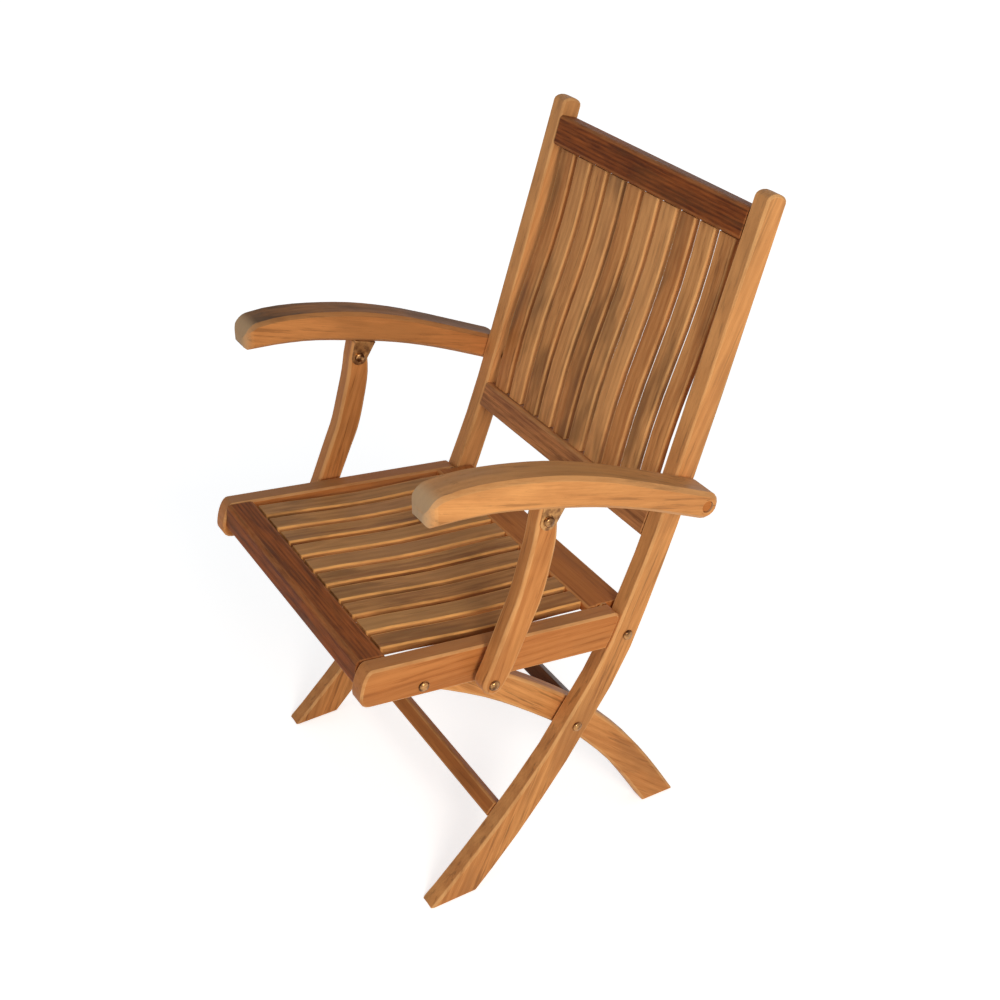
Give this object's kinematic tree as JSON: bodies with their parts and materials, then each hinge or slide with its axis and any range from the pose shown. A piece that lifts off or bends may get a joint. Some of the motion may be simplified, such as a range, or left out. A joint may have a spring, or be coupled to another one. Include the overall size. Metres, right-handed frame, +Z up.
{
  "type": "folding armchair",
  "caption": "Folding slatted wooden armchair with curved crossed legs, arched armrests on curved supports and a tall slatted back.",
  "frame": {"origin": "on the ground, under the middle of the bounding box of the chair standing open", "axes": "+X across the chair to the sitter's left, -Y to the chair's front, +Z up"},
  "size_m": [0.5684, 0.5803, 0.9111],
  "materials": {
    "teak": "oiled, satin, warm orange brown with straight grain",
    "dark_teak": "oiled, satin, dark red brown",
    "brass": "satin, slightly tarnished"
  },
  "bodies": {
    "back_frame": {"stile_left": "teak", "stile_right": "teak", "top_back_rail": "dark_teak", "lower_back_rail": "dark_teak", "back_slat_01": "teak", "back_slat_02": "teak", "back_slat_03": "teak", "back_slat_04": "teak", "back_slat_05": "teak", "back_slat_06": "teak", "back_slat_07": "teak", "back_slat_08": "teak", "back_slat_09": "teak", "back_slat_10": "teak", "front_leg_stretcher": "teak", "seat_hinge_bracket_left": "brass", "seat_hinge_bracket_right": "brass", "leg_pivot_bolt_left": "brass", "leg_pivot_bolt_right": "brass", "hinge_bracket_bolt_left": "brass", "hinge_bracket_bolt_right": "brass", "arm_pivot_bolt_left": "brass", "arm_pivot_bolt_right": "brass"},
    "seat": {"seat_rail_left": "teak", "seat_rail_right": "teak", "seat_front_rail": "dark_teak", "seat_rear_rail": "teak", "seat_slat_01": "teak", "seat_slat_02": "teak", "seat_slat_03": "teak", "seat_slat_04": "teak", "seat_slat_05": "teak", "seat_slat_06": "teak", "seat_slat_07": "teak", "seat_slat_08": "teak", "seat_slat_09": "teak", "seat_slat_10": "teak", "seat_rail_bolt_left": "brass", "seat_rail_bolt_right": "brass"},
    "rear_leg_frame": {"rear_leg_left": "teak", "rear_leg_right": "teak", "rear_leg_stretcher": "teak"},
    "arm_left": {"armrest_left": "teak", "arm_bracket_left": "brass", "arm_pivot_plug_left": "teak", "support_top_bolt_left": "brass"},
    "support_left": {"arm_support_left": "teak", "support_foot_bolt_left": "brass"},
    "arm_right": {"armrest_right": "teak", "arm_bracket_right": "brass", "arm_pivot_plug_right": "teak", "support_top_bolt_right": "brass"},
    "support_right": {"arm_support_right": "teak", "support_foot_bolt_right": "brass"}
  },
  "joints": [
    {"name": "seat_fold", "type": "hinge", "parent": "back_frame", "child": "seat", "pos_m": [0, 0.0728, 0.37424], "axis": [-1, 0, 0], "range_deg": [0, 90]},
    {"name": "leg_fold", "type": "hinge", "parent": "back_frame", "child": "rear_leg_frame", "pos_m": [0, 0.01772, 0.22201], "axis": [-1, 0, 0], "range_deg": [0, 59.4]},
    {"name": "arm_fold_left", "type": "hinge", "parent": "back_frame", "child": "arm_left", "pos_m": [0.2597, 0.16791, 0.54387], "axis": [-1, 0, 0], "range_deg": [0, 80.82]},
    {"name": "support_fold_left", "type": "hinge", "parent": "arm_left", "child": "support_left", "pos_m": [0.2519, -0.05287, 0.58331], "axis": [1, 0, 0], "range_deg": [0, 73.53]},
    {"name": "arm_fold_right", "type": "hinge", "parent": "back_frame", "child": "arm_right", "pos_m": [-0.2597, 0.16791, 0.54387], "axis": [-1, 0, 0], "range_deg": [0, 80.82]},
    {"name": "support_fold_right", "type": "hinge", "parent": "arm_right", "child": "support_right", "pos_m": [-0.2519, -0.05287, 0.58331], "axis": [1, 0, 0], "range_deg": [0, 73.53]}
  ],
  "couplings": [
    {"joint": "leg_fold", "follows": "seat_fold", "ratio": 0.66},
    {"joint": "arm_fold_left", "follows": "seat_fold", "ratio": 0.898},
    {"joint": "support_fold_left", "follows": "seat_fold", "ratio": 0.817},
    {"joint": "arm_fold_right", "follows": "seat_fold", "ratio": 0.898},
    {"joint": "support_fold_right", "follows": "seat_fold", "ratio": 0.817}
  ]
}
